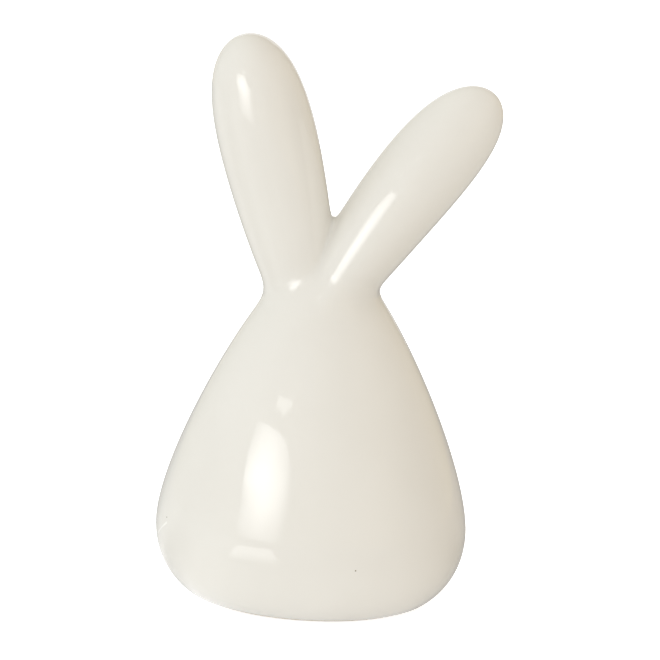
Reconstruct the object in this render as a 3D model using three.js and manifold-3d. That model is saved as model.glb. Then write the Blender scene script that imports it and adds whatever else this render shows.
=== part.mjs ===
// A glazed ceramic bunny ornament. A hollow, cone-shaped body stands on a flat foot with four felt
// pads. Two hollow ears stand on the rim of its neck. Thin layers of slip lute the ears to the rim
// and to each other. Millimetres and degrees, +Z up, the front faces -Y, the right ear leans to +X.

import * as THREE from "three";
import { mergeVertices } from "three/addons/utils/BufferGeometryUtils.js";
import loadManifold from "manifold-3d";

// Body: the flank is two curves, from the foot out to the belly and from the belly in to the crown.
// The crown is where the flank would close if the neck were not cut off flat below it.
const footRadius = 36.6;
const footRunOut = 5.8;
const footRunUp = 2.7;
const bellyRadius = 50;
const bellyHeight = 23;
const bellyFullnessBelow = 12.9;
const bellyFullnessAbove = 23.8;
const crownBreadth = 15.3;
const neckHeight = 100;
const crownAboveNeck = 14.5;
const bodyDepthRatio = 0.95;

// Ears: each has a straight or slightly bowed axis from a root below the neck's rim. Its half-width
// and its half-depth are given at the root, halfway up and near the tip, and the tip's fullness sets
// how blunt it ends. A lean is measured from upright, positive to +X.
const leftEar = {
  rootX: -3.8,
  rootBelowNeck: 10.9,
  lean: -16.3,
  length: 94.2,
  bow: 0,
  rootHalfWidth: 8.2,
  middleHalfWidth: 15.2,
  upperHalfWidth: 14.6,
  rootHalfDepth: 10.5,
  middleHalfDepth: 16,
  upperHalfDepth: 16.5,
  tipFullness: 6.8,
  filletToBody: 7.5,
};
const rightEar = {
  rootX: -5.5,
  rootBelowNeck: 13.8,
  lean: 34.5,
  length: 96.6,
  bow: -2,
  rootHalfWidth: 7.9,
  middleHalfWidth: 13.5,
  upperHalfWidth: 13.3,
  rootHalfDepth: 16,
  middleHalfDepth: 17,
  upperHalfDepth: 13.5,
  tipFullness: 6.6,
  filletToBody: 5.2,
};

// Walls, base and joints
const wallThickness = 4;
const baseThickness = 5;
const recessRadius = 16;
const recessDepth = 1.5;
const drainHoleDiameter = 16;
const slipThickness = 0.8;
const slipClearance = 0.3;

// Felt pads: their centres lie on a circle set in from the edge of the foot.
const padDiameter = 10;
const padThickness = 1.2;
const padInset = 12;
const padPlaces = ["back_right", "back_left", "front_left", "front_right"];

// Fineness of the surfaces: points round each ring, and rings along each stretch
const bodyRingPoints = 40;
const earRingPoints = 32;
const ringCounts = { underside: 7, flank: 14, cavity: 13, ear: 19, earCavity: 14 };
const holeSides = 32;
const padSides = 24;

// Shares of an ear's length at which its half-widths and half-depths are given
const earMiddle = 0.5;
const earUpper = 0.8;

const glazedCeramic = new THREE.MeshStandardMaterial({ color: 0xe9e6dc, roughness: 0.12, metalness: 0 });
const firedSlip = new THREE.MeshStandardMaterial({ color: 0xe2dccd, roughness: 0.55, metalness: 0 });
const whiteFelt = new THREE.MeshStandardMaterial({ color: 0xd9d6cf, roughness: 1, metalness: 0 });

const wasm = await loadManifold();
wasm.setup();

// The outer form

const crownHeight = neckHeight + crownAboveNeck;

const undersideCurve = new THREE.CubicBezierCurve(
  new THREE.Vector2(footRadius, 0),
  new THREE.Vector2(footRadius + footRunOut, footRunUp),
  new THREE.Vector2(bellyRadius, bellyHeight - bellyFullnessBelow),
  new THREE.Vector2(bellyRadius, bellyHeight),
);

const flankCurve = new THREE.CubicBezierCurve(
  new THREE.Vector2(bellyRadius, bellyHeight),
  new THREE.Vector2(bellyRadius, bellyHeight + bellyFullnessAbove),
  new THREE.Vector2(crownBreadth, crownHeight),
  new THREE.Vector2(0, crownHeight),
);

const profileSteps = 300;
const profile = [...undersideCurve.getPoints(profileSteps), ...flankCurve.getPoints(profileSteps).slice(1)];

// The square of the body's half-width at a height, carried on in a straight line past its ends
function squaredRadius(height) {
  let low = 0;
  let high = profile.length - 1;
  while (high - low > 1) {
    const middle = (low + high) >> 1;
    if (profile[middle].y <= height) {
      low = middle;
    } else {
      high = middle;
    }
  }
  const share = (height - profile[low].y) / (profile[high].y - profile[low].y);
  return THREE.MathUtils.lerp(profile[low].x ** 2, profile[high].x ** 2, share);
}

// Roughly the distance to the surface on which a quadratic value is zero, negative inside.
// The steepness is the length of the value's gradient.
function quadraticDistance(value, steepness) {
  return (2 * value) / (steepness + Math.sqrt(Math.max(steepness ** 2 - 4 * value, 0)));
}

// Keeps the steepness above zero on an axis, where the gradient vanishes
const leastSteepness = 2;

// How far above and below a height the flank's slope is taken
const slopeReach = 0.5;

// The shares of an ear's length between which its half-width follows its parabola
const lowestShare = -0.2;
const highestShare = 1.3;

function bodyDistance(x, y, z) {
  const slope = (squaredRadius(z + slopeReach) - squaredRadius(z - slopeReach)) / (2 * slopeReach);
  const value = x ** 2 + (y / bodyDepthRatio) ** 2 - squaredRadius(z);
  const steepnessSquared = 4 * (x ** 2 + (y / bodyDepthRatio ** 2) ** 2) + slope ** 2;
  return quadraticDistance(value, Math.sqrt(steepnessSquared + leastSteepness ** 2));
}

// A parabola along an ear's axis, with its slope, that gives the square of a half-width or half-depth.
// Brought to zero at the tip by a high power of the share of the length, it meets the three given sizes.
function makeSwelling(root, middle, upper, tipFullness) {
  const atRoot = root ** 2;
  const atMiddle = middle ** 2 / (1 - earMiddle ** tipFullness) - atRoot;
  const atUpper = upper ** 2 / (1 - earUpper ** tipFullness) - atRoot;
  const curving = (atUpper / earUpper - atMiddle / earMiddle) / (earUpper - earMiddle);
  const widening = atMiddle / earMiddle - curving * earMiddle;
  return (share) => ({
    square: atRoot + widening * share + curving * share ** 2,
    slope: widening + 2 * curving * share,
  });
}

// An ear is elliptical across its axis: its value is quadratic in the distance across the axis and
// in Y, and flatness, the squared ratio of width to depth, is the factor of Y. Flatness changes from
// the root to the tip and stays level past both.
function makeEarDistance(ear) {
  const lean = THREE.MathUtils.degToRad(ear.lean);
  const rootZ = neckHeight - ear.rootBelowNeck;
  const widthAt = makeSwelling(ear.rootHalfWidth, ear.middleHalfWidth, ear.upperHalfWidth, ear.tipFullness);
  const depthAt = makeSwelling(ear.rootHalfDepth, ear.middleHalfDepth, ear.upperHalfDepth, ear.tipFullness);
  const flatnessAt = (share) => {
    const t = THREE.MathUtils.clamp(share, 0, 1);
    const width = widthAt(t);
    const depth = depthAt(t);
    const ratio = width.square / depth.square;
    const slope = share === t ? (width.slope - ratio * depth.slope) / depth.square : 0;
    return { ratio, slope };
  };
  return (x, y, z) => {
    const along = (x - ear.rootX) * Math.sin(lean) + (z - rootZ) * Math.cos(lean);
    const share = along / ear.length;
    const bow = ear.bow * 4 * share * (1 - share);
    const across = (x - ear.rootX) * Math.cos(lean) - (z - rootZ) * Math.sin(lean) - bow;
    const t = THREE.MathUtils.clamp(share, lowestShare, highestShare);
    const closing = t > 0 ? t ** ear.tipFullness : 0;
    const closingSlope = t > 0 ? ear.tipFullness * t ** (ear.tipFullness - 1) : 0;
    const width = widthAt(t);
    const flatness = flatnessAt(share);
    const widthSlope = (1 - closing) * width.slope - closingSlope * width.square;
    const slope = (widthSlope - y ** 2 * flatness.slope) / ear.length;
    const value = across ** 2 + y ** 2 * flatness.ratio - (1 - closing) * width.square;
    const steepnessSquared = 4 * (across ** 2 + (y * flatness.ratio) ** 2) + slope ** 2;
    return quadraticDistance(value, Math.sqrt(steepnessSquared + leastSteepness ** 2));
  };
}

const leftEarDistance = makeEarDistance(leftEar);
const rightEarDistance = makeEarDistance(rightEar);

// Joins two distances with a fillet of about the given reach
function filletedUnion(a, b, reach) {
  const nearness = Math.max(reach - Math.abs(a - b), 0) / reach;
  return Math.min(a, b) - (nearness ** 3 * reach) / 6;
}

function formDistance(x, y, z) {
  const withLeft = filletedUnion(bodyDistance(x, y, z), leftEarDistance(x, y, z), leftEar.filletToBody);
  return filletedUnion(withLeft, rightEarDistance(x, y, z), rightEar.filletToBody);
}

// Searching along lines

const longestReach = 2 * bellyRadius + leftEar.length + rightEar.length;

// Halves the span between an inside and an outside value until they meet
function meetingPoint(inside, outside, isInside) {
  let near = inside;
  let far = outside;
  for (let step = 0; step < 40; step += 1) {
    const middle = (near + far) / 2;
    if (isInside(middle)) {
      near = middle;
    } else {
      far = middle;
    }
  }
  return (near + far) / 2;
}

// How far a line from an inner point runs before it leaves the solid
function reachOf(isInside, x, y, directionX, directionY) {
  const stride = 0.5;
  let far = stride;
  while (far < longestReach && isInside(x + directionX * far, y + directionY * far)) {
    far += stride;
  }
  return meetingPoint(far - stride, far, (r) => isInside(x + directionX * r, y + directionY * r));
}

// A ring of points where lines from an inner point leave the solid at one height
function ringAt(z, isInside, x, y, count) {
  const points = [];
  for (let i = 0; i < count; i += 1) {
    const angle = (2 * Math.PI * i) / count;
    const r = reachOf(isInside, x, y, Math.cos(angle), Math.sin(angle));
    points.push(new THREE.Vector3(x + r * Math.cos(angle), y + r * Math.sin(angle), z));
  }
  return points;
}

// Heights from one to another, closer together near both ends, where the form curves most
function heightsBetween(low, high, count) {
  const heights = [];
  for (let i = 0; i <= count; i += 1) {
    const share = (1 - Math.cos((Math.PI * i) / count)) / 2;
    heights.push(THREE.MathUtils.lerp(low, high, share));
  }
  return heights;
}

// The crease plane between the ears runs where both ears' surfaces are equally far.

const leftLean = THREE.MathUtils.degToRad(leftEar.lean);
const rightLean = THREE.MathUtils.degToRad(rightEar.lean);

function axisX(ear, lean, z) {
  return ear.rootX + (z - neckHeight + ear.rootBelowNeck) * Math.tan(lean);
}

function creaseX(z) {
  const left = axisX(leftEar, leftLean, z);
  const right = axisX(rightEar, rightLean, z);
  return meetingPoint(left, right, (x) => leftEarDistance(x, 0, z) < rightEarDistance(x, 0, z));
}

const creaseSpan = rightEar.middleHalfWidth;
const creaseFoot = new THREE.Vector3(creaseX(neckHeight), 0, neckHeight);
const creaseHead = new THREE.Vector3(creaseX(neckHeight + creaseSpan), 0, neckHeight + creaseSpan);
const creaseLean = Math.atan2(creaseHead.x - creaseFoot.x, creaseSpan);

// Distance past the crease plane, positive towards the right ear
function pastCrease(x, z) {
  return (x - creaseFoot.x) * Math.cos(creaseLean) - (z - neckHeight) * Math.sin(creaseLean);
}

// Solids

function solidOf(positions, triangles) {
  const mesh = new wasm.Mesh({
    numProp: 3,
    vertProperties: Float32Array.from(positions),
    triVerts: Uint32Array.from(triangles),
  });
  return new wasm.Manifold(mesh);
}

// A closed solid through rings of equal length, from a point below the first to one above the last
function loft(bottom, rings, top) {
  const count = rings[0].length;
  const points = [bottom, ...rings.flat(), top];
  const triangles = [];
  for (let i = 0; i < count; i += 1) {
    const next = (i + 1) % count;
    triangles.push(0, 1 + next, 1 + i);
    for (let ring = 0; ring < rings.length - 1; ring += 1) {
      const lower = 1 + ring * count;
      const upper = lower + count;
      triangles.push(lower + i, lower + next, upper + next);
      triangles.push(lower + i, upper + next, upper + i);
    }
    const last = 1 + (rings.length - 1) * count;
    triangles.push(last + i, last + next, points.length - 1);
  }
  return solidOf(points.flatMap((point) => point.toArray()), triangles);
}

// A solid from one of three's closed geometries, moved by a matrix
function solidFrom(geometry, matrix) {
  geometry.deleteAttribute("normal");
  geometry.deleteAttribute("uv");
  geometry.applyMatrix4(matrix);
  const merged = mergeVertices(geometry);
  return solidOf(merged.getAttribute("position").array, merged.getIndex().array);
}

// An upright disc between two heights
function disc(radius, low, high) {
  const geometry = new THREE.CylinderGeometry(radius, radius, high - low, holeSides);
  const matrix = new THREE.Matrix4().makeRotationX(Math.PI / 2).setPosition(0, 0, (low + high) / 2);
  return solidFrom(geometry, matrix);
}

// A large block that holds everything between two distances past the crease plane
function creaseBlock(from, to) {
  const geometry = new THREE.BoxGeometry(to - from, longestReach, 2 * longestReach);
  geometry.translate((from + to) / 2, 0, 0);
  const matrix = new THREE.Matrix4().makeRotationY(creaseLean).setPosition(creaseFoot);
  return solidFrom(geometry, matrix);
}

// A large block that holds everything between two heights
function levelBlock(low, high) {
  const geometry = new THREE.BoxGeometry(2 * longestReach, longestReach, high - low);
  return solidFrom(geometry, new THREE.Matrix4().makeTranslation(0, 0, (low + high) / 2));
}

function meshOf(name, solid, material) {
  const { vertProperties, triVerts } = solid.getMesh();
  const geometry = new THREE.BufferGeometry();
  geometry.setAttribute("position", new THREE.BufferAttribute(Float32Array.from(vertProperties), 3));
  geometry.setIndex(new THREE.BufferAttribute(Uint32Array.from(triVerts), 1));
  geometry.computeVertexNormals();
  const mesh = new THREE.Mesh(geometry, material);
  mesh.name = name;
  return mesh;
}

// Body casting: the form below the neck's rim, less its cavity, the recess and the drain hole

function bodyRings(heights, depth) {
  return heights.map((z) => {
    const isInside = (x, y) => formDistance(x, y, z) < -depth;
    return ringAt(z, isInside, 0, 0, bodyRingPoints);
  });
}

function makeBodyShell() {
  const underside = undersideCurve.getPoints(ringCounts.underside).map((point) => point.y);
  const flank = heightsBetween(bellyHeight, neckHeight, ringCounts.flank);
  const outer = loft(
    new THREE.Vector3(0, 0, 0),
    bodyRings([...underside, ...flank.slice(1)], 0),
    new THREE.Vector3(0, 0, neckHeight),
  );
  const cavityTop = neckHeight + wallThickness;
  const cavity = loft(
    new THREE.Vector3(0, 0, baseThickness),
    bodyRings(heightsBetween(baseThickness, cavityTop, ringCounts.cavity), wallThickness),
    new THREE.Vector3(0, 0, cavityTop),
  );
  const recess = disc(recessRadius, -recessDepth, recessDepth);
  const drainHole = disc(drainHoleDiameter / 2, -recessDepth, 2 * baseThickness);
  return outer.subtract(cavity).subtract(recess).subtract(drainHole);
}

// Ear castings: both ears are made as one hollow form from the rim up, then parted at the crease.

// Where the narrowest line across an ear at a height lies, and how far inside the ear it runs
function innermost(distance, nearX, z, halfSpan) {
  let low = nearX - halfSpan;
  let high = nearX + halfSpan;
  for (let step = 0; step < 60; step += 1) {
    const third = (high - low) / 3;
    if (distance(low + third, 0, z) < distance(high - third, 0, z)) {
      high -= third;
    } else {
      low += third;
    }
  }
  const x = (low + high) / 2;
  return { x, distance: distance(x, 0, z) };
}

// One ear from a height up, at a depth below its surface. It runs a little past the crease plane,
// so that the two ears overlap there before they are parted.
function earLoft(ear, lean, distance, side, depth, bottom, ringCount) {
  const pastPlane = wallThickness / 2;
  const halfSpan = 2 * ear.middleHalfWidth;
  const centreAt = (z) => innermost(distance, axisX(ear, lean, z), z, halfSpan);
  const wellInside = neckHeight + ear.length / 2;
  const topZ = meetingPoint(wellInside, neckHeight + longestReach, (z) => centreAt(z).distance < -depth);
  const heights = heightsBetween(bottom, topZ, ringCount).slice(0, -1);
  const rings = heights.map((z) => {
    const isInside = (x, y) => formDistance(x, y, z) < -depth && side * pastCrease(x, z) < pastPlane;
    const start = centreAt(z).x;
    const leftReach = reachOf(isInside, start, 0, -1, 0);
    const rightReach = reachOf(isInside, start, 0, 1, 0);
    return ringAt(z, isInside, start + (rightReach - leftReach) / 2, 0, earRingPoints);
  });
  const bottomCentre = rings[0].reduce((sum, point) => sum.add(point), new THREE.Vector3());
  const top = new THREE.Vector3(centreAt(topZ).x, 0, topZ);
  return loft(bottomCentre.divideScalar(earRingPoints), rings, top);
}

function bothEars(depth, bottom, ringCount) {
  const left = earLoft(leftEar, leftLean, leftEarDistance, 1, depth, bottom, ringCount);
  const right = earLoft(rightEar, rightLean, rightEarDistance, -1, depth, bottom, ringCount);
  return left.add(right);
}

const earShell = bothEars(0, neckHeight, ringCounts.ear).subtract(
  bothEars(wallThickness, neckHeight - wallThickness, ringCounts.earCavity),
);
const creaseGap = slipThickness / 2 + slipClearance;
const leftSide = creaseBlock(-longestReach, -creaseGap);
const rightSide = creaseBlock(creaseGap, longestReach);
const rootHeight = neckHeight + slipThickness;
const aboveSlip = levelBlock(rootHeight, rootHeight + longestReach);
const slipBand = levelBlock(neckHeight, rootHeight);
const creaseSheet = creaseBlock(-slipThickness / 2, slipThickness / 2);

// Felt pads, on the foot's land

function makePad(place, index) {
  const angle = (2 * Math.PI * (index + 0.5)) / padPlaces.length;
  const radius = footRadius * bodyDepthRatio - padInset;
  const geometry = new THREE.CylinderGeometry(padDiameter / 2, padDiameter / 2, padThickness, padSides);
  geometry.rotateX(Math.PI / 2);
  const pad = new THREE.Mesh(geometry, whiteFelt);
  pad.position.set(radius * Math.cos(angle), radius * Math.sin(angle), padThickness / 2);
  pad.name = `felt_pad_${place}`;
  return pad;
}

// Assembly: the castings stand on the pads.

const castings = new THREE.Group();
castings.position.z = padThickness;
castings.add(
  meshOf("body_shell", makeBodyShell(), glazedCeramic),
  meshOf("left_ear", earShell.intersect(leftSide).intersect(aboveSlip), glazedCeramic),
  meshOf("right_ear", earShell.intersect(rightSide).intersect(aboveSlip), glazedCeramic),
  meshOf("left_ear_slip_joint", earShell.intersect(leftSide).intersect(slipBand), firedSlip),
  meshOf("right_ear_slip_joint", earShell.intersect(rightSide).intersect(slipBand), firedSlip),
  meshOf("ear_crease_slip_joint", earShell.intersect(creaseSheet), firedSlip),
);

const ornament = new THREE.Group();
ornament.add(castings);
ornament.add(...padPlaces.map(makePad));

// The origin is the middle of the ornament's underside box, on the surface that it stands on.
const box = new THREE.Box3().setFromObject(ornament);
ornament.position.x = -(box.min.x + box.max.x) / 2;
ornament.position.y = -(box.min.y + box.max.y) / 2;

export default ornament;
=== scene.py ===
# A glazed ceramic bunny ornament in a plain studio. Three hollow castings carry a gloss cream-white
# glaze, the clay inside and under the foot is bare, and four pads of pressed felt lie under the foot.
# Metres and degrees, +Z up, the front faces -Y and the right ear leans to +X.

import math

import bmesh
import bpy
import numpy as np
from mathutils import Matrix, Vector


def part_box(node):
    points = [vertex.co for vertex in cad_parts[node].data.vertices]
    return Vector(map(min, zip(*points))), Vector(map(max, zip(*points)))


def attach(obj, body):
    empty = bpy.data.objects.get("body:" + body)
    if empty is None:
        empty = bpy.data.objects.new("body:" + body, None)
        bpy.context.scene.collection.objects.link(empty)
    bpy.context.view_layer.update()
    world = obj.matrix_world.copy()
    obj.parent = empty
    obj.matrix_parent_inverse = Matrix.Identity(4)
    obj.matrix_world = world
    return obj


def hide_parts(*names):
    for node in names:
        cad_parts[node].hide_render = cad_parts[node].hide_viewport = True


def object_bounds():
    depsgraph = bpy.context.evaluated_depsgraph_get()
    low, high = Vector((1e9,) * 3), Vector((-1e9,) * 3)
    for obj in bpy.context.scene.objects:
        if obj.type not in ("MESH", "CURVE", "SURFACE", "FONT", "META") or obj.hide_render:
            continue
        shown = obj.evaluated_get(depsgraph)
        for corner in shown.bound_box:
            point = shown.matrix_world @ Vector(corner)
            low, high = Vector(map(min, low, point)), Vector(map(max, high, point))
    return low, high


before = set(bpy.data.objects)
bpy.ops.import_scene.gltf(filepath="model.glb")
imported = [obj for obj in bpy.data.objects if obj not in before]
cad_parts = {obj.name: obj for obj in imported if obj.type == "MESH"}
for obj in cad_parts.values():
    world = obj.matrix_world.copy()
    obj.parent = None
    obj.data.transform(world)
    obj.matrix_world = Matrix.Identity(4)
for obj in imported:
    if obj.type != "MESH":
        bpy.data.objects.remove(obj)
cad_low, cad_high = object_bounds()

# Where the body stands, from the frame
shell_low, shell_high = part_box("body_shell")
AXIS_X = (shell_low.x + shell_high.x) / 2
FOOT_Z = shell_low.z
NECK_Z = shell_high.z
BELLY_RADIUS = (shell_high.x - shell_low.x) / 2
BODY_DEPTH_RATIO = (shell_high.y - shell_low.y) / (shell_high.x - shell_low.x)

# Body: two curves, from the foot out to the belly and from the belly in to the crown
FOOT_RADIUS = 0.0366
FOOT_RUN_OUT = 0.0058
FOOT_RUN_UP = 0.0027
BELLY_HEIGHT = 0.023
BELLY_FULLNESS_BELOW = 0.0129
BELLY_FULLNESS_ABOVE = 0.0238
CROWN_BREADTH = 0.0153
CROWN_ABOVE_NECK = 0.0145

# Ears: half-widths and half-depths at the root, halfway up and near the tip of a leaning axis
LEFT_EAR = {
    "root_x": -0.0038,
    "root_below_neck": 0.0109,
    "lean": -16.3,
    "length": 0.0942,
    "bow": 0.0,
    "half_widths": (0.0082, 0.0152, 0.0146),
    "half_depths": (0.0105, 0.016, 0.0165),
    "tip_fullness": 6.8,
    "fillet": 0.0075,
}
RIGHT_EAR = {
    "root_x": -0.0055,
    "root_below_neck": 0.0138,
    "lean": 34.5,
    "length": 0.0966,
    "bow": -0.002,
    "half_widths": (0.0079, 0.0135, 0.0133),
    "half_depths": (0.016, 0.017, 0.0135),
    "tip_fullness": 6.6,
    "fillet": 0.0052,
}
EAR_MIDDLE = 0.5
EAR_UPPER = 0.8

# The right ear's fillet away from the middle plane: broad at the neck, and nearly sharp in the crease
NECK_FILLET = 0.0095
CREASE_FILLET = 0.002
FILLET_CHANGES_FROM = 0.003
FILLET_CHANGES_TO = 0.011
CREASE_ABOVE_NECK = 0.012

# Walls, base and the edges of the bare clay
WALL = 0.004
BASE = 0.005
RECESS_RADIUS = 0.016
RECESS_DEPTH = 0.0015
DRAIN_RADIUS = 0.008
EDGE_ROUNDING = 0.0012
GLAZE_THICKNESS = 0.0003
GLAZE_EDGE_HEIGHT = 0.0011
GLAZE_EDGE_SOFTNESS = 0.0006

# Small faults in the glaze, from the body's axis and the foot: two pinholes, each painted as a dark spot
# of shade for its tiny pit, and a short pale run
PINHOLES = ((0.0147, -0.0453, 0.020), (-0.0456, -0.0189, 0.0271))
PINHOLE_RADIUS = 0.0003
PINHOLE_SHADE_COLOUR = (0.22, 0.18, 0.12)
RUN_START = (-0.0487, -0.0105, 0.0197)
RUN_END = (-0.0456, -0.0193, 0.0254)
RUN_HALF_WIDTH = 0.0005
RUN_COLOUR = (0.93, 0.92, 0.88)

BLACK = (0.0, 0.0, 0.0)
WHITE = (1.0, 1.0, 1.0)

# Glaze and clay: colours, how fine their patterns are in waves to the metre, where a pattern is black
# and where it is white, and heights in metres
PATTERN_DETAIL = 2.0
GLAZE_COLOURS = ((0.800, 0.782, 0.735), (0.815, 0.798, 0.752))
GLAZE_CLOUDS = 28.0
GLAZE_CLOUD_ENDS = (0.35, 0.65)
GLAZE_WAVES = 60.0
GLAZE_WAVE_HEIGHT = 0.00006
GLAZE_RIPPLES = 260.0
GLAZE_RIPPLE_HEIGHT = 0.000006
GLAZE_ROUGHNESS = 0.3
GLOSS_ROUGHNESS = 0.05
GLOSS_IOR = 1.5
CLAY_COLOURS = ((0.66, 0.60, 0.50), (0.76, 0.71, 0.62))
CLAY_GRAINS = 1500.0
CLAY_GRAIN_ENDS = (0.3, 0.7)
CLAY_GRAIN_HEIGHT = 0.00003
CLAY_ROUGHNESS = 0.75
GLAZE_EDGE_WAVES = 400.0
GLAZE_EDGE_RAGGEDNESS = 0.0006
GLAZE_EDGE_BLUR = 0.0003

# Felt pads: each section point is a share of the radius and of half the thickness, from top to bottom
PAD_NAMES = ("felt_pad_front_left", "felt_pad_front_right", "felt_pad_back_left", "felt_pad_back_right")
PAD_SIDES = 96
PAD_BULGE = 0.0002
PAD_RAGGEDNESS = 0.00006
PAD_RAGGED_FROM = 0.9
PAD_SECTION = (
    (0.35, 1.0),
    (0.75, 1.0),
    (0.94, 0.98),
    (1.0, 0.86),
    (1.0, 0.4),
    (1.0, -0.4),
    (1.0, -0.86),
    (0.94, -0.98),
    (0.75, -1.0),
    (0.35, -1.0),
)
FELT_PATTERN_ENDS = (0.3, 0.7)
FIBRE_COLOURS = ((0.50, 0.48, 0.44), (0.74, 0.72, 0.68))
FIBRES = 2600.0
FIBRE_DETAIL = 6.0
FIBRE_ROUGHNESS = 0.7
FIBRE_HEIGHT = 0.00008
TUFT_COLOURS = ((0.55, 0.53, 0.49), (0.78, 0.76, 0.72))
TUFTS = 500.0
TUFT_HEIGHT = 0.00012
TUFT_SHARE = 0.35
FELT_ROUGHNESS = 0.95
FELT_SHEEN = 0.4
FELT_SHEEN_ROUGHNESS = 0.5

# Fineness of the modelled surface, and small limits that keep its sums steady
MESH_STEP = 0.0011
SETTLING_ROUNDS = 4
SETTLING_SHARE = 0.5
GRADIENT_STEP = 0.00025
LEAST_GRADIENT_SQUARED = 0.05
UNDERSIDE_STEPS = 2000
FLANK_STEPS = 4000
CROWN_SLOPE_STEPS = 40
BODY_SLOPE_STEP = 0.0005
LEAST_STEEPNESS = 0.002
EAR_LOWEST_SHARE = -0.2
EAR_HIGHEST_SHARE = 1.3
CREASE_SEARCH = 0.03
CREASE_SEARCH_STEPS = 60001
PLANE_TOLERANCE = 1e-7

# Camera: where it stands round the body, and what it aims at
CAMERA_ELEVATION = 9.4
CAMERA_ROLL = 3.4
CAMERA_DISTANCE = 0.9
CAMERA_LENS = 153.7
CAMERA_SENSOR = 36
CAMERA_NEAREST = 0.05
CAMERA_AIM = (AXIS_X + 0.00244, 0.0, FOOT_Z + 0.08695)

# Plain light from all round: its level, and how it changes towards +X, +Y and +Z
STUDIO_LEVEL = (0.895, 0.85, 0.765)
STUDIO_LEANS = ((-0.24, -0.315, -0.38), (-0.23, -0.26, -0.32), (0.03, 0.05, 0.08))

# Floor: its glow where it is seen, and the fainter glow with which it lights the object from below
FLOOR_HALF_SIZE = 12.0
FLOOR_PALENESS = 0.9
FLOOR_ROUGHNESS = 0.6
FLOOR_LIFT = 0.75
FLOOR_GLOW = 0.16

# Softbox: its place, its outline seen from the object, its brightness across it low down and high up,
# and its brightness upward. Points are across to the right and up. A slanted strip glows above it.
SOFTBOX_AZIMUTH = 40
SOFTBOX_DISTANCE = 0.7
SOFTBOX_OUTLINE = (
    (-0.14, 0.03),
    (0.285, 0.03),
    (0.28, 0.15),
    (0.315, 0.30),
    (0.268, 0.41),
    (0.17, 0.465),
    (-0.24, 0.465),
    (-0.225, 0.37),
    (-0.155, 0.19),
)
SOFTBOX_ACROSS_LOW = ((-0.17, 0.25), (-0.10, 0.62), (0.02, 0.98), (0.06, 1.0), (0.18, 0.73), (0.28, 0.2))
SOFTBOX_ACROSS_HIGH = (
    (-0.24, 0.35),
    (-0.09, 0.94),
    (-0.02, 1.0),
    (0.05, 1.0),
    (0.22, 0.55),
    (0.30, 0.12),
)
SOFTBOX_LOW_TO_HIGH = ((0.23, 0.0), (0.30, 1.0))
SOFTBOX_UPWARD = (
    (0.03, 0.22),
    (0.06, 0.35),
    (0.15, 0.57),
    (0.195, 0.72),
    (0.26, 0.93),
    (0.31, 1.0),
    (0.34, 1.0),
    (0.40, 0.78),
    (0.46, 0.55),
)
SOFTBOX_STRENGTH = 7.2
SOFTBOX_TINT = (1.0, 1.0, 0.99)
STRIP_OUTLINE = ((-0.05, 0.525), (0.07, 0.525), (0.16, 0.57), (0.15, 0.60), (0.06, 0.575), (-0.05, 0.56))
STRIP_LIGHT = (2.8, 2.8, 2.7)

# A small card near the object, as bright as the walls, keeps the softbox off the right ear's upper half
CARD_DISTANCE = 0.15
CARD_OUTLINE = ((0.017, 0.204), (0.11, 0.165), (0.11, 0.23), (0.017, 0.24))
CARD_LIGHT = (0.6, 0.6, 0.58)

# The dim walls that the glaze mirrors: their brightness from the left to the right, and their tints
DOME_RADIUS = 2.5
DOME_SEGMENTS = 72
DOME_RINGS = 36
WALLS_ACROSS = (
    (-1.0, 0.42),
    (-0.93, 0.60),
    (-0.8, 0.65),
    (-0.6, 0.60),
    (-0.39, 0.70),
    (0.0, 0.57),
    (0.37, 0.40),
    (0.6, 0.55),
    (0.79, 0.55),
    (0.92, 0.25),
    (1.0, 0.05),
)
WALLS_LEFT_TINT = (1.0, 1.0, 0.96)
WALLS_RIGHT_TINT = (1.0, 0.88, 0.62)
OPENING_AZIMUTH = 2
OPENING_HALF_WIDTH = 16
OPENING_HEIGHT = 30

# The table as the glaze mirrors it: a pool of light round the foot, and brightness from left to right
SHEEN_INNER = 0.005
SHEEN_HEIGHT = 0.0002
SHEEN_SIDES = 64
SHEEN_POOL = ((0.03, 0.45), (0.05, 0.35), (0.08, 0.1), (0.11, 0.0))
SHEEN_ACROSS = (
    (-1.0, 0.38),
    (-0.93, 0.80),
    (-0.8, 0.72),
    (-0.6, 0.48),
    (-0.35, 0.42),
    (0.0, 0.50),
    (0.35, 0.32),
    (0.6, 0.36),
    (0.8, 0.30),
    (0.92, 0.12),
    (1.0, 0.05),
)

# The softbox's own light on the table: its outline in front of the softbox, its brightness outward, and
# how it shows from steep to low
TABLE_GLOW_OUTLINE = ((-0.012, 0.09), (0.04, 0.09), (0.088, 0.30), (-0.04, 0.30))
TABLE_GLOW_OUTWARD = ((0.09, 1.0), (0.11, 2.1), (0.15, 2.4), (0.2, 2.6), (0.3, 2.5))
TABLE_GLOW_LOW_VIEW = ((0.58, 0.2), (0.75, 1.0))


# The outer form


def bezier(start, leaving, arriving, end, count):
    t = np.linspace(0, 1, count)[:, None]
    corners = [np.array(point) for point in (start, leaving, arriving, end)]
    shares = ((1 - t) ** 3, 3 * (1 - t) ** 2 * t, 3 * (1 - t) * t**2, t**3)
    return sum(share * corner for share, corner in zip(shares, corners))


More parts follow.
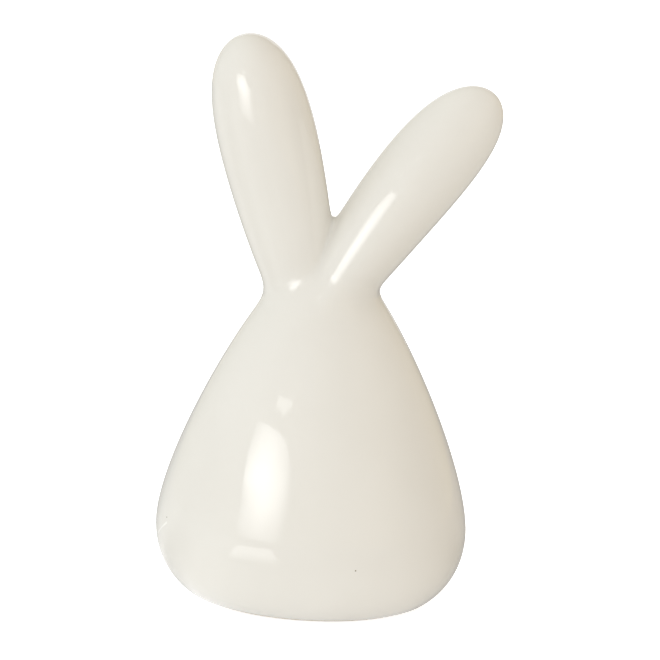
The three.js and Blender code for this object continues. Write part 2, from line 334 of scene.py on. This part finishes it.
def body_profile():
    """Heights over the foot, and the square of the body's half-width at each."""
    crown = NECK_Z - FOOT_Z + CROWN_ABOVE_NECK
    underside = bezier(
        (FOOT_RADIUS, 0),
        (FOOT_RADIUS + FOOT_RUN_OUT, FOOT_RUN_UP),
        (BELLY_RADIUS, BELLY_HEIGHT - BELLY_FULLNESS_BELOW),
        (BELLY_RADIUS, BELLY_HEIGHT),
        UNDERSIDE_STEPS,
    )
    flank = bezier(
        (BELLY_RADIUS, BELLY_HEIGHT),
        (BELLY_RADIUS, BELLY_HEIGHT + BELLY_FULLNESS_ABOVE),
        (CROWN_BREADTH, crown),
        (0, crown),
        FLANK_STEPS,
    )
    points = np.concatenate([underside, flank[1:]])
    return points[:, 1], points[:, 0] ** 2


PROFILE_HEIGHTS, PROFILE_SQUARES = body_profile()


def squared_radius(height):
    """The square of the body's half-width at a height, carried on in a straight line past the ends."""
    slopes = []
    for end, inner in ((0, 1), (-1, -CROWN_SLOPE_STEPS)):
        run = PROFILE_HEIGHTS[inner] - PROFILE_HEIGHTS[end]
        slopes.append((PROFILE_SQUARES[inner] - PROFILE_SQUARES[end]) / run)
    within = np.interp(height, PROFILE_HEIGHTS, PROFILE_SQUARES)
    below = np.minimum(height - PROFILE_HEIGHTS[0], 0) * slopes[0]
    above = np.maximum(height - PROFILE_HEIGHTS[-1], 0) * slopes[1]
    return within + below + above


def quadratic_distance(value, steepness_squared):
    """Roughly the distance to where a quadratic value is zero, negative inside."""
    steepness_squared = steepness_squared + LEAST_STEEPNESS**2
    root = np.sqrt(np.maximum(steepness_squared - 4 * value, 0))
    return 2 * value / (np.sqrt(steepness_squared) + root)


def body_distance(x, y, z):
    higher = squared_radius(z + BODY_SLOPE_STEP)
    lower = squared_radius(z - BODY_SLOPE_STEP)
    slope = (higher - lower) / (2 * BODY_SLOPE_STEP)
    value = x**2 + (y / BODY_DEPTH_RATIO) ** 2 - squared_radius(z)
    return quadratic_distance(value, 4 * (x**2 + (y / BODY_DEPTH_RATIO**2) ** 2) + slope**2)


def swelling(sizes, power, share):
    """A parabola along an ear that gives the square of a half-width or half-depth, and its slope."""
    root, middle, upper = (size**2 for size in sizes)
    middle = middle / (1 - EAR_MIDDLE**power) - root
    upper = upper / (1 - EAR_UPPER**power) - root
    curving = (upper / EAR_UPPER - middle / EAR_MIDDLE) / (EAR_UPPER - EAR_MIDDLE)
    widening = middle / EAR_MIDDLE - curving * EAR_MIDDLE
    return root + widening * share + curving * share**2, widening + 2 * curving * share


def ear_flatness(ear, share):
    """The squared ratio of an ear's width to its depth, level past both ends, and its slope."""
    power = ear["tip_fullness"]
    within = np.clip(share, 0, 1)
    width, width_slope = swelling(ear["half_widths"], power, within)
    depth, depth_slope = swelling(ear["half_depths"], power, within)
    ratio = width / depth
    return ratio, np.where(share == within, (width_slope - ratio * depth_slope) / depth, 0)


def ear_distance(ear, x, y, z):
    lean = math.radians(ear["lean"])
    across_x = x - ear["root_x"]
    up = z - (NECK_Z - FOOT_Z - ear["root_below_neck"])
    power = ear["tip_fullness"]
    share = (across_x * math.sin(lean) + up * math.cos(lean)) / ear["length"]
    bow = ear["bow"] * 4 * share * (1 - share)
    across = across_x * math.cos(lean) - up * math.sin(lean) - bow
    limited = np.clip(share, EAR_LOWEST_SHARE, EAR_HIGHEST_SHARE)
    tip = np.maximum(limited, 0)
    width, width_slope = swelling(ear["half_widths"], power, limited)
    flatness, flatness_slope = ear_flatness(ear, share)
    closing_slope = power * tip ** (power - 1)
    slope = (1 - tip**power) * width_slope - closing_slope * width - y**2 * flatness_slope
    value = across**2 + y**2 * flatness - (1 - tip**power) * width
    steepness_squared = 4 * (across**2 + (y * flatness) ** 2) + (slope / ear["length"]) ** 2
    return quadratic_distance(value, steepness_squared)


def joined(a, b, reach):
    """The union of two distances, with a fillet of about the given reach."""
    nearness = np.maximum(reach - np.abs(a - b), 0) / reach
    return np.minimum(a, b) - nearness**3 * reach / 6


def cut(a, b, reach):
    """What two distances share, with the edge between them rounded."""
    return -joined(-a, -b, reach)


def smooth_step(value, start, end):
    share = np.clip((value - start) / (end - start), 0, 1)
    return share**2 * (3 - 2 * share)


def right_fillet(y, z):
    """How far the right ear's fillet reaches, by the distance from the middle plane and the height."""
    neck = NECK_Z - FOOT_Z
    in_crease = smooth_step(z, neck, neck + CREASE_ABOVE_NECK)
    outer = NECK_FILLET + (CREASE_FILLET - NECK_FILLET) * in_crease
    middle = RIGHT_EAR["fillet"]
    return middle + (outer - middle) * smooth_step(np.abs(y), FILLET_CHANGES_FROM, FILLET_CHANGES_TO)


def form_distance(x, y, z):
    body = body_distance(x, y, z)
    with_left = joined(body, ear_distance(LEFT_EAR, x, y, z), LEFT_EAR["fillet"])
    return joined(with_left, ear_distance(RIGHT_EAR, x, y, z), right_fillet(y, z))


def outside_distance(x, y, z, form):
    """The glazed form on its flat foot, less the recess in the foot and the drain hole."""
    covered = np.clip((z - GLAZE_EDGE_HEIGHT) / GLAZE_EDGE_SOFTNESS + 0.5, 0, 1)
    bare = 1 - covered**2 * (3 - 2 * covered)
    solid = cut(form + GLAZE_THICKNESS * bare, -z, EDGE_ROUNDING)
    radius = np.hypot(x, y)
    recess = cut(radius - RECESS_RADIUS, z - RECESS_DEPTH, EDGE_ROUNDING)
    hole = cut(radius - DRAIN_RADIUS, z - 2 * BASE, EDGE_ROUNDING)
    return cut(cut(solid, -recess, EDGE_ROUNDING), -hole, EDGE_ROUNDING)


def cavity_distance(z, form):
    return cut(form + WALL, BASE - z, 3 * EDGE_ROUNDING)


def casting_distance(points):
    """The distance to the hollow casting's surface, from points in the frame."""
    x = points[..., 0] - AXIS_X
    y = points[..., 1]
    z = points[..., 2] - FOOT_Z
    form = form_distance(x, y, z)
    return cut(outside_distance(x, y, z, form), -cavity_distance(z, form), EDGE_ROUNDING)


def gradient(points):
    slopes = []
    for axis in range(3):
        offset = np.zeros(3)
        offset[axis] = GRADIENT_STEP
        rise = casting_distance(points + offset) - casting_distance(points - offset)
        slopes.append(rise / (2 * GRADIENT_STEP))
    return np.stack(slopes, axis=-1)


# The surface as a mesh


def surface_net(low, high, step):
    """Vertices and quads of the surface inside a box: one vertex in each cell that it crosses."""
    counts = np.ceil((high - low) / step).astype(int) + 1
    lines = [low[axis] + step * np.arange(counts[axis]) for axis in range(3)]
    inside = np.zeros(counts, bool)
    ys, zs = np.meshgrid(lines[1], lines[2], indexing="ij")
    for i, x in enumerate(lines[0]):
        inside[i] = casting_distance(np.stack([np.full_like(ys, x), ys, zs], axis=-1)) < 0
    full = np.zeros(counts - 1, int)
    for i in (0, 1):
        for j in (0, 1):
            for k in (0, 1):
                full += inside[i : counts[0] - 1 + i, j : counts[1] - 1 + j, k : counts[2] - 1 + k]
    crossed = (full > 0) & (full < 8)
    number = np.full(crossed.shape, -1)
    number[crossed] = np.arange(crossed.sum())
    vertices = low + step * (np.argwhere(crossed) + 0.5)
    quads = []
    for axis in range(3):
        first, second = (axis + 1) % 3, (axis + 2) % 3
        here = np.moveaxis(inside, (axis, first, second), (0, 1, 2))
        cells = np.moveaxis(number, (axis, first, second), (0, 1, 2))
        near, far = here[:-1, 1:-1, 1:-1], here[1:, 1:-1, 1:-1]
        corners = [cells[:, :-1, :-1], cells[:, 1:, :-1], cells[:, 1:, 1:], cells[:, :-1, 1:]]
        for leaving, order in ((near & ~far, (0, 1, 2, 3)), (far & ~near, (3, 2, 1, 0))):
            quads.append(np.stack([corners[i][leaving] for i in order], axis=-1))
    return vertices, np.concatenate(quads)


def settle(vertices, quads, rounds):
    """Evens out the vertices along the surface and brings them back onto it."""
    edges = np.concatenate([quads[:, [i, (i + 1) % 4]] for i in range(4)])
    count = len(vertices)
    valence = np.bincount(edges[:, 0], minlength=count)[:, None]
    for turn in range(rounds):
        if turn > 0:
            neighbours = vertices[edges[:, 1]]
            totals = [np.bincount(edges[:, 0], neighbours[:, axis], count) for axis in range(3)]
            middles = np.stack(totals, axis=-1) / valence
            vertices = vertices + SETTLING_SHARE * (middles - vertices)
        for _ in range(2):
            slope = gradient(vertices)
            value = casting_distance(vertices)[:, None]
            steepness = np.maximum((slope**2).sum(-1, keepdims=True), LEAST_GRADIENT_SQUARED)
            vertices = vertices - slope * value / steepness
    return vertices


def new_piece(name, mesh):
    """A smooth-shaded object from a finished mesh."""
    data = bpy.data.meshes.new(name)
    mesh.to_mesh(data)
    mesh.free()
    data.polygons.foreach_set("use_smooth", [True] * len(data.polygons))
    piece = bpy.data.objects.new(name, data)
    bpy.context.collection.objects.link(piece)
    return piece


def vertex_places(data):
    places = np.zeros(len(data.vertices) * 3)
    data.vertices.foreach_get("co", places)
    return places.reshape(-1, 3)


# Pieces


def crease_plane():
    """A point and a normal of the plane in the crease, where both ears' surfaces are equally far."""
    points = []
    for height in (NECK_Z - FOOT_Z, NECK_Z - FOOT_Z + RIGHT_EAR["half_widths"][1]):
        spread = np.linspace(-CREASE_SEARCH, CREASE_SEARCH, CREASE_SEARCH_STEPS)
        level = np.full_like(spread, height)
        to_left = ear_distance(LEFT_EAR, spread, 0 * spread, level)
        to_right = ear_distance(RIGHT_EAR, spread, 0 * spread, level)
        nearer_left = to_left < to_right
        crossing = np.flatnonzero(nearer_left[:-1] & ~nearer_left[1:])[0]
        points.append(Vector((AXIS_X + spread[crossing], 0, FOOT_Z + height)))
    along = points[1] - points[0]
    return points[0], Vector((along.z, 0, -along.x)).normalized()


def cut_piece(name, vertices, quads, planes):
    """A closed piece of the casting on the kept side of each plane, with its cut faces filled."""
    mesh = bmesh.new()
    corners = [mesh.verts.new(vertex) for vertex in vertices]
    for quad in quads:
        mesh.faces.new([corners[index] for index in quad])
    for point, normal in planes:
        geometry = mesh.verts[:] + mesh.edges[:] + mesh.faces[:]
        result = bmesh.ops.bisect_plane(
            mesh,
            geom=geometry,
            dist=PLANE_TOLERANCE,
            plane_co=point,
            plane_no=normal,
            clear_outer=True,
        )
        rim = [part for part in result["geom_cut"] if isinstance(part, bmesh.types.BMEdge)]
        bmesh.ops.triangle_fill(mesh, use_beauty=True, use_dissolve=False, edges=rim, normal=normal)
    loose = [vertex for vertex in mesh.verts if not vertex.link_faces]
    bmesh.ops.delete(mesh, geom=loose, context="VERTS")
    piece = new_piece(name, mesh)
    give_smooth_normals(piece.data, planes)
    return piece


def give_smooth_normals(data, planes):
    """Normals from the form itself, so that no seam shows where the pieces meet. Cut faces stay flat."""
    points = vertex_places(data)
    smooth = gradient(points)
    smooth /= np.linalg.norm(smooth, axis=-1, keepdims=True)
    on_planes = []
    for point, normal in planes:
        height = (points - np.array(point)) @ np.array(normal)
        on_planes.append(np.abs(height) < 2 * PLANE_TOLERANCE)
    normals = []
    for polygon in data.polygons:
        indices = list(polygon.vertices)
        if any(on_plane[indices].all() for on_plane in on_planes):
            normals.extend([tuple(polygon.normal)] * len(indices))
        else:
            normals.extend(tuple(smooth[index]) for index in indices)
    data.normals_split_custom_set(normals)


def mark_bare_clay(piece):
    """A signed distance past the glaze's edge at each vertex: above zero where glaze covers the clay."""
    points = vertex_places(piece.data)
    x, y, z = points[:, 0] - AXIS_X, points[:, 1], points[:, 2] - FOOT_Z
    form = form_distance(x, y, z)
    over_edge = z - GLAZE_EDGE_HEIGHT
    from_hole = np.hypot(x, y) - DRAIN_RADIUS - EDGE_ROUNDING
    under_foot = np.minimum(over_edge, from_hole)
    in_base = (z < BASE - EDGE_ROUNDING) & (form < -WALL / 2)
    cover = np.where(form > -WALL / 2, over_edge, under_foot)
    cover = np.where(form < -WALL + EDGE_ROUNDING / 3, -WALL, cover)
    cover = np.where(in_base, under_foot, cover)
    attribute = piece.data.attributes.new("glaze_cover", "FLOAT", "POINT")
    attribute.data.foreach_set("value", cover.astype(np.float32))


def make_castings():
    low = np.array(shell_low) - 2 * MESH_STEP
    high = np.array((cad_high.x, shell_high.y, cad_high.z)) + 2 * MESH_STEP
    vertices, quads = surface_net(low, high, MESH_STEP)
    vertices = settle(vertices, quads, SETTLING_ROUNDS)
    foot, crease_normal = crease_plane()
    neck = Vector((AXIS_X, 0, NECK_Z))
    up = Vector((0, 0, 1))
    pieces = {
        "body_casting": ([(neck, up)], ["body_shell"]),
        "left_ear_casting": ([(neck, -up), (foot, crease_normal)], ["left_ear", "left_ear_slip_joint"]),
        "right_ear_casting": (
            [(neck, -up), (foot, -crease_normal)],
            ["right_ear", "right_ear_slip_joint", "ear_crease_slip_joint"],
        ),
    }
    made = []
    for name, (planes, nodes) in pieces.items():
        piece = cut_piece(name, vertices, quads, planes)
        mark_bare_clay(piece)
        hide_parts(*nodes)
        made.append(piece)
    return made


def make_pad(node):
    """A punched disc of felt that bulges a little at its rim, under the foot."""
    low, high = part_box(node)
    middle = (low + high) / 2
    radius = (high.x - low.x) / 2 - PAD_BULGE
    half = (high.z - low.z) / 2
    mesh = bmesh.new()
    rings = []
    random = np.random.default_rng(len(node))
    ragged = random.normal(0, PAD_RAGGEDNESS, PAD_SIDES)
    for share, level in PAD_SECTION:
        bulge = PAD_BULGE * (1 - level**2) if share == 1.0 else 0
        ring = []
        for side in range(PAD_SIDES):
            angle = 2 * math.pi * side / PAD_SIDES
            reach = radius * share + bulge + (ragged[side] if share > PAD_RAGGED_FROM else 0)
            x = middle.x + reach * math.cos(angle)
            y = middle.y + reach * math.sin(angle)
            ring.append(mesh.verts.new((x, y, middle.z + half * level)))
        rings.append(ring)
    for upper, lower in zip(rings, rings[1:]):
        for side in range(PAD_SIDES):
            after = (side + 1) % PAD_SIDES
            mesh.faces.new((upper[side], lower[side], lower[after], upper[after]))
    mesh.faces.new(rings[0])
    mesh.faces.new(list(reversed(rings[-1])))
    piece = new_piece(node + "_felt", mesh)
    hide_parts(node)
    return piece


# Materials


class Shader:
    """Adds and links the nodes of one material or of the world."""

    def __init__(self, owner):
        owner.use_nodes = True
        self.owner = owner
        self.tree = owner.node_tree
        self.surface = self.tree.nodes.get("Principled BSDF")

    def add(self, kind, inputs=(), **settings):
        node = self.tree.nodes.new(kind)
        for name, value in settings.items():
            setattr(node, name, value)
        for name, value in dict(inputs).items():
            self.feed(node, name, value)
        return node

    def feed(self, node, name, value):
        socket = node.inputs[name]
        if isinstance(value, bpy.types.NodeSocket):
            self.tree.links.new(value, socket)
        elif socket.type == "RGBA":
            socket.default_value = (*value, 1)
        else:
            socket.default_value = value

    def ramp(self, factor, *stops):
        node = self.add("ShaderNodeValToRGB", {"Fac": factor})
        elements = node.color_ramp.elements
        while len(elements) < len(stops):
            elements.new(0.5)
        for element, (position, colour) in zip(elements, stops):
            element.position = position
            element.color = (*colour, 1)
        return node.outputs["Color"]

    def blend(self, factor, ends, first, second):
        """One colour up to the lower end of a factor, and another from its upper end on."""
        return self.ramp(factor, (ends[0], first), (ends[1], second))

    def noise(self, where, scale, detail=3.0, roughness=0.5):
        settings = {"Vector": where, "Scale": scale, "Detail": detail, "Roughness": roughness}
        return self.add("ShaderNodeTexNoise", settings).outputs["Fac"]

    def math(self, operation, a, b=0.0, clamp=False):
        node = self.add("ShaderNodeMath", operation=operation, use_clamp=clamp)
        self.feed(node, 0, a)
        self.feed(node, 1, b)
        return node.outputs[0]

    def vector(self, operation, *values):
        node = self.add("ShaderNodeVectorMath", operation=operation)
        for index, value in enumerate(values):
            self.feed(node, index, value)
        single = operation in ("LENGTH", "DISTANCE", "DOT_PRODUCT")
        return node.outputs["Value" if single else "Vector"]

    def axes(self, vector):
        return self.add("ShaderNodeSeparateXYZ", {"Vector": vector}).outputs

    def spread(self, value):
        """A vector with one number in all three places."""
        return self.add("ShaderNodeCombineXYZ", {"X": value, "Y": value, "Z": value}).outputs[0]

    def profile(self, value, points):
        """A number that goes through the given points, level past both ends."""
        low, high = points[0][0], points[-1][0]
        share = self.math("DIVIDE", self.math("SUBTRACT", value, low), high - low)
        stops = [((place - low) / (high - low), (level,) * 3) for place, level in points]
        return self.ramp(share, *stops)

    def own_place(self):
        return self.add("ShaderNodeTexCoord").outputs["Object"]

    def seen(self):
        """One for rays from the camera, straight, mirrored or through glass, and nought for the rest."""
        path = self.add("ShaderNodeLightPath").outputs
        seen = self.math("MAXIMUM", path["Is Camera Ray"], path["Is Glossy Ray"])
        return self.math("MAXIMUM", seen, path["Is Transmission Ray"])

    def mix(self, factor, a, b):
        node = self.add("ShaderNodeMix", data_type="RGBA")
        self.feed(node, 0, factor)
        self.feed(node, 6, a)
        self.feed(node, 7, b)
        return node.outputs[2]

    def mix_number(self, factor, a, b):
        node = self.add("ShaderNodeMix", data_type="FLOAT")
        self.feed(node, 0, factor)
        self.feed(node, 2, a)
        self.feed(node, 3, b)
        return node.outputs[0]

    def mix_vector(self, factor, a, b):
        node = self.add("ShaderNodeMix", data_type="VECTOR")
        self.feed(node, 0, factor)
        self.feed(node, 4, a)
        self.feed(node, 5, b)
        return node.outputs[1]

    def bump(self, height, distance, under=None):
        inputs = {"Height": height, "Distance": distance, "Strength": 1.0}
        if under is not None:
            inputs["Normal"] = under
        return self.add("ShaderNodeBump", inputs).outputs["Normal"]


def from_foot(point):
    return (point[0] + AXIS_X, point[1], point[2] + FOOT_Z)


def glaze_faults(shader, where):
    """How much of a pinhole's painted shade, and of the pale run in the glaze, lies at each place."""
    pinhole_shade = 0.0
    for pinhole in PINHOLES:
        distance = shader.vector("DISTANCE", where, from_foot(pinhole))
        dark = shader.profile(distance, ((PINHOLE_RADIUS / 2, 1), (PINHOLE_RADIUS, 0)))
        pinhole_shade = shader.math("MAXIMUM", dark, pinhole_shade)
    start, end = Vector(from_foot(RUN_START)), Vector(from_foot(RUN_END))
    along = end - start
    from_start = shader.vector("SUBTRACT", where, start)
    reach = shader.vector("DOT_PRODUCT", from_start, along)
    share = shader.math("DIVIDE", reach, along.length_squared, clamp=True)
    nearest = shader.vector("MULTIPLY", shader.spread(share), along)
    distance = shader.vector("DISTANCE", from_start, nearest)
    run = shader.profile(distance, ((RUN_HALF_WIDTH / 2, 1), (RUN_HALF_WIDTH, 0)))
    return pinhole_shade, run


def glaze_material():
    """Gloss glaze over cream clay, thin and worn off at the foot, where the bare clay shows."""
    shader = Shader(bpy.data.materials.new("gloss_cream_glaze"))
    where = shader.own_place()
    cover = shader.add("ShaderNodeAttribute", attribute_name="glaze_cover").outputs["Fac"]
    edge_waves = shader.math("SUBTRACT", shader.noise(where, GLAZE_EDGE_WAVES), 0.5)
    ragged = shader.math("MULTIPLY", edge_waves, GLAZE_EDGE_RAGGEDNESS)
    covered = shader.math("DIVIDE", shader.math("ADD", cover, ragged), GLAZE_EDGE_BLUR)
    covered = shader.math("ADD", covered, 0.5, clamp=True)
    clouds = shader.noise(where, GLAZE_CLOUDS, PATTERN_DETAIL)
    clouds = shader.blend(clouds, GLAZE_CLOUD_ENDS, BLACK, WHITE)
    glaze = shader.mix(clouds, *GLAZE_COLOURS)
    grains = shader.noise(where, CLAY_GRAINS, PATTERN_DETAIL)
    grains = shader.blend(grains, CLAY_GRAIN_ENDS, BLACK, WHITE)
    clay = shader.mix(grains, *CLAY_COLOURS)
    pinhole_shade, run = glaze_faults(shader, where)
    glaze = shader.mix(run, glaze, RUN_COLOUR)
    # Painted shade: each pinhole is a dark spot in the glaze's colour, standing for the shade in its
    # tiny pit
    glaze = shader.mix(pinhole_shade, glaze, PINHOLE_SHADE_COLOUR)
    waves = shader.noise(where, GLAZE_WAVES, PATTERN_DETAIL)
    waves = shader.bump(waves, GLAZE_WAVE_HEIGHT)
    ripples = shader.noise(where, GLAZE_RIPPLES, PATTERN_DETAIL)
    ripples = shader.bump(ripples, GLAZE_RIPPLE_HEIGHT, waves)
    grain_bump = shader.bump(grains, CLAY_GRAIN_HEIGHT, waves)
    roughness = shader.mix_number(covered, CLAY_ROUGHNESS, GLAZE_ROUGHNESS)
    shader.feed(shader.surface, "Base Color", shader.mix(covered, clay, glaze))
    shader.feed(shader.surface, "Roughness", roughness)
    shader.feed(shader.surface, "Normal", shader.mix_vector(covered, grain_bump, ripples))
    shader.feed(shader.surface, "Specular IOR Level", 0.0)
    shader.feed(shader.surface, "Coat Weight", covered)
    shader.feed(shader.surface, "Coat Roughness", GLOSS_ROUGHNESS)
    shader.feed(shader.surface, "Coat IOR", GLOSS_IOR)
    shader.feed(shader.surface, "Coat Normal", ripples)
    return shader.owner


def felt_material():
    """Pressed wool felt: tangled fibres, matt, with a soft sheen."""
    shader = Shader(bpy.data.materials.new("pressed_wool_felt"))
    where = shader.own_place()
    fibres = shader.noise(where, FIBRES, FIBRE_DETAIL, FIBRE_ROUGHNESS)
    tufts = shader.noise(where, TUFTS)
    fibre_colour = shader.blend(fibres, FELT_PATTERN_ENDS, *FIBRE_COLOURS)
    tuft_colour = shader.blend(tufts, FELT_PATTERN_ENDS, *TUFT_COLOURS)
    rough = shader.bump(tufts, TUFT_HEIGHT)
    shader.feed(shader.surface, "Base Color", shader.mix(TUFT_SHARE, fibre_colour, tuft_colour))
    shader.feed(shader.surface, "Roughness", FELT_ROUGHNESS)
    shader.feed(shader.surface, "Sheen Weight", FELT_SHEEN)
    shader.feed(shader.surface, "Sheen Roughness", FELT_SHEEN_ROUGHNESS)
    shader.feed(shader.surface, "Normal", shader.bump(fibres, FIBRE_HEIGHT, rough))
    return shader.owner


# Studio


def make_camera():
    elevation = math.radians(CAMERA_ELEVATION)
    roll = math.radians(CAMERA_ROLL)
    ahead = Vector((0, math.cos(elevation), -math.sin(elevation)))
    above = Vector((0, math.sin(elevation), math.cos(elevation)))
    right = Vector((1, 0, 0)) * math.cos(roll) + above * math.sin(roll)
    turn = Matrix((right, right.cross(ahead), -ahead)).transposed()
    place = Vector(CAMERA_AIM) - ahead * CAMERA_DISTANCE
    data = bpy.data.cameras.new("camera")
    data.lens = CAMERA_LENS
    data.sensor_width = CAMERA_SENSOR
    data.clip_start = CAMERA_NEAREST
    camera = bpy.data.objects.new("camera", data)
    bpy.context.collection.objects.link(camera)
    camera.matrix_world = Matrix.Translation(place) @ turn.to_4x4()
    bpy.context.scene.camera = camera


def make_stage_piece(name, corners, faces, material):
    data = bpy.data.meshes.new(name)
    data.from_pydata(corners, [], faces)
    data.materials.append(material)
    piece = bpy.data.objects.new(name, data)
    bpy.context.collection.objects.link(piece)
    return piece


def show_only_in_gloss(piece):
    piece.visible_camera = False
    piece.visible_diffuse = False
    piece.visible_transmission = False
    piece.visible_shadow = False


def make_floor():
    """A pale floor that is nearly white where it is seen, and lights the object a little from below."""
    shader = Shader(bpy.data.materials.new("white_floor"))
    strength = shader.mix_number(shader.seen(), FLOOR_GLOW, FLOOR_LIFT)
    shader.feed(shader.surface, "Base Color", (FLOOR_PALENESS,) * 3)
    shader.feed(shader.surface, "Roughness", FLOOR_ROUGHNESS)
    shader.feed(shader.surface, "Emission Color", WHITE)
    shader.feed(shader.surface, "Emission Strength", strength)
    size = FLOOR_HALF_SIZE
    corners = [(-size, -size, 0), (size, -size, 0), (size, size, 0), (-size, size, 0)]
    make_stage_piece("floor", corners, [(0, 1, 2, 3)], shader.owner)


def make_world():
    """White where it is seen; the plain light that it gives leans a little to one side."""
    world = bpy.data.worlds.new("studio")
    bpy.context.scene.world = world
    shader = Shader(world)
    axes = shader.axes(shader.add("ShaderNodeTexCoord").outputs["Generated"])
    light = STUDIO_LEVEL
    for axis, lean in zip("XYZ", STUDIO_LEANS):
        light = shader.vector("MULTIPLY_ADD", shader.spread(axes[axis]), lean, light)
    shader.feed(shader.tree.nodes["Background"], "Color", shader.mix(shader.seen(), light, WHITE))


def glow_material(name, colour):
    """A material that only glows, in the colour that a function makes from its shader."""
    shader = Shader(bpy.data.materials.new(name))
    shader.tree.nodes.remove(shader.surface)
    glow = shader.add("ShaderNodeEmission", {"Color": colour(shader)})
    shader.feed(shader.tree.nodes["Material Output"], "Surface", glow.outputs[0])
    return shader.owner


def softbox_axes():
    """The way to the softbox, level, and the way across it to the right."""
    facing = math.radians(SOFTBOX_AZIMUTH)
    towards = Vector((-math.sin(facing), -math.cos(facing), 0))
    return towards, Vector((math.cos(facing), -math.sin(facing), 0))


def softbox_light(shader):
    """Brightest in the middle of the softbox, and fading towards its edges."""
    axes = shader.axes(shader.own_place())
    low = shader.profile(axes["X"], SOFTBOX_ACROSS_LOW)
    high = shader.profile(axes["X"], SOFTBOX_ACROSS_HIGH)
    sideways = shader.mix_number(shader.profile(axes["Y"], SOFTBOX_LOW_TO_HIGH), low, high)
    upward = shader.profile(axes["Y"], SOFTBOX_UPWARD)
    strength = shader.math("MULTIPLY", shader.math("MULTIPLY", sideways, upward), SOFTBOX_STRENGTH)
    return shader.vector("MULTIPLY", shader.spread(strength), SOFTBOX_TINT)


def make_front_panels():
    """A large softbox at the front left, a thin strip of glow above it and the small shading card."""
    towards, across = softbox_axes()
    turn = Matrix((across, (0, 0, 1), -towards)).transposed().to_4x4()
    panels = {
        "softbox": (SOFTBOX_DISTANCE, SOFTBOX_OUTLINE, softbox_light),
        "light_strip": (SOFTBOX_DISTANCE, STRIP_OUTLINE, lambda _: STRIP_LIGHT),
        "shading_card": (CARD_DISTANCE, CARD_OUTLINE, lambda _: CARD_LIGHT),
    }
    for name, (distance, outline, light) in panels.items():
        place = Vector((AXIS_X, 0, FOOT_Z)) + towards * distance
        corners = [(right, up, 0) for right, up in outline]
        face = tuple(range(len(corners)))
        panel = make_stage_piece(name, corners, [face], glow_material(name, light))
        panel.matrix_world = Matrix.Translation(place) @ turn
        show_only_in_gloss(panel)


def make_table_glow():
    """Where the softbox lights the table in front of it, as the glaze mirrors it."""
    towards, across = softbox_axes()

    def light(shader):
        outward = shader.profile(shader.vector("LENGTH", shader.own_place()), TABLE_GLOW_OUTWARD)
        facing = shader.add("ShaderNodeLayerWeight", {"Blend": 0.5}).outputs["Facing"]
        low_view = shader.profile(facing, TABLE_GLOW_LOW_VIEW)
        return shader.spread(shader.math("MULTIPLY", outward, low_view))

    corners = [(across * right + towards * out)[:] for right, out in TABLE_GLOW_OUTLINE]
    glow = make_stage_piece("table_glow", corners, [(0, 1, 2, 3)], glow_material("table_glow", light))
    glow.location = (AXIS_X, 0, 2 * SHEEN_HEIGHT)
    show_only_in_gloss(glow)


def make_dome():
    """The studio's dim walls as the glaze mirrors them, open to the white backdrop behind the object."""

    def light(shader):
        axes = shader.axes(shader.vector("NORMALIZE", shader.own_place()))
        from_left = shader.profile(axes["X"], ((-1, 0), (1, 1)))
        tint = shader.mix(from_left, WALLS_LEFT_TINT, WALLS_RIGHT_TINT)
        return shader.vector("MULTIPLY", tint, shader.spread(shader.profile(axes["X"], WALLS_ACROSS)))

    mesh = bmesh.new()
    bmesh.ops.create_uvsphere(mesh, u_segments=DOME_SEGMENTS, v_segments=DOME_RINGS, radius=DOME_RADIUS)
    for face in list(mesh.faces):
        middle = face.calc_center_median()
        azimuth = math.degrees(math.atan2(middle.x, middle.y))
        elevation = math.degrees(math.asin(middle.z / middle.length))
        behind = abs(azimuth - OPENING_AZIMUTH) < OPENING_HALF_WIDTH
        if elevation < 0 or (behind and elevation < OPENING_HEIGHT):
            mesh.faces.remove(face)
    corners = [vertex.co[:] for vertex in mesh.verts]
    faces = [tuple(vertex.index for vertex in face.verts) for face in mesh.faces]
    mesh.free()
    dome = make_stage_piece("studio_walls", corners, faces, glow_material("studio_walls", light))
    show_only_in_gloss(dome)


def make_table_sheen():
    """The pool of light on the table: bright round the foot, dimmer further out and to the sides."""

    def light(shader):
        place = shader.own_place()
        pool = shader.profile(shader.vector("LENGTH", place), SHEEN_POOL)
        axes = shader.axes(shader.vector("NORMALIZE", place))
        return shader.spread(shader.math("ADD", pool, shader.profile(axes["X"], SHEEN_ACROSS)))

    corners = []
    for radius in (SHEEN_INNER, FLOOR_HALF_SIZE):
        for side in range(SHEEN_SIDES):
            turn = 2 * math.pi * side / SHEEN_SIDES
            corners.append((radius * math.cos(turn), radius * math.sin(turn), 0))
    faces = []
    for side in range(SHEEN_SIDES):
        after = (side + 1) % SHEEN_SIDES
        faces.append((side, after, SHEEN_SIDES + after, SHEEN_SIDES + side))
    sheen = make_stage_piece("table_sheen", corners, faces, glow_material("table_sheen", light))
    sheen.location = (AXIS_X, 0, SHEEN_HEIGHT)
    show_only_in_gloss(sheen)


glaze = glaze_material()
felt = felt_material()
for casting in make_castings():
    casting.data.materials.append(glaze)
    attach(casting, "root")
for pad_name in PAD_NAMES:
    pad = make_pad(pad_name)
    pad.data.materials.append(felt)
    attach(pad, "root")
make_camera()
make_floor()
make_world()
make_front_panels()
make_dome()
make_table_sheen()
make_table_glow()
bpy.context.scene.view_settings.view_transform = "Standard"
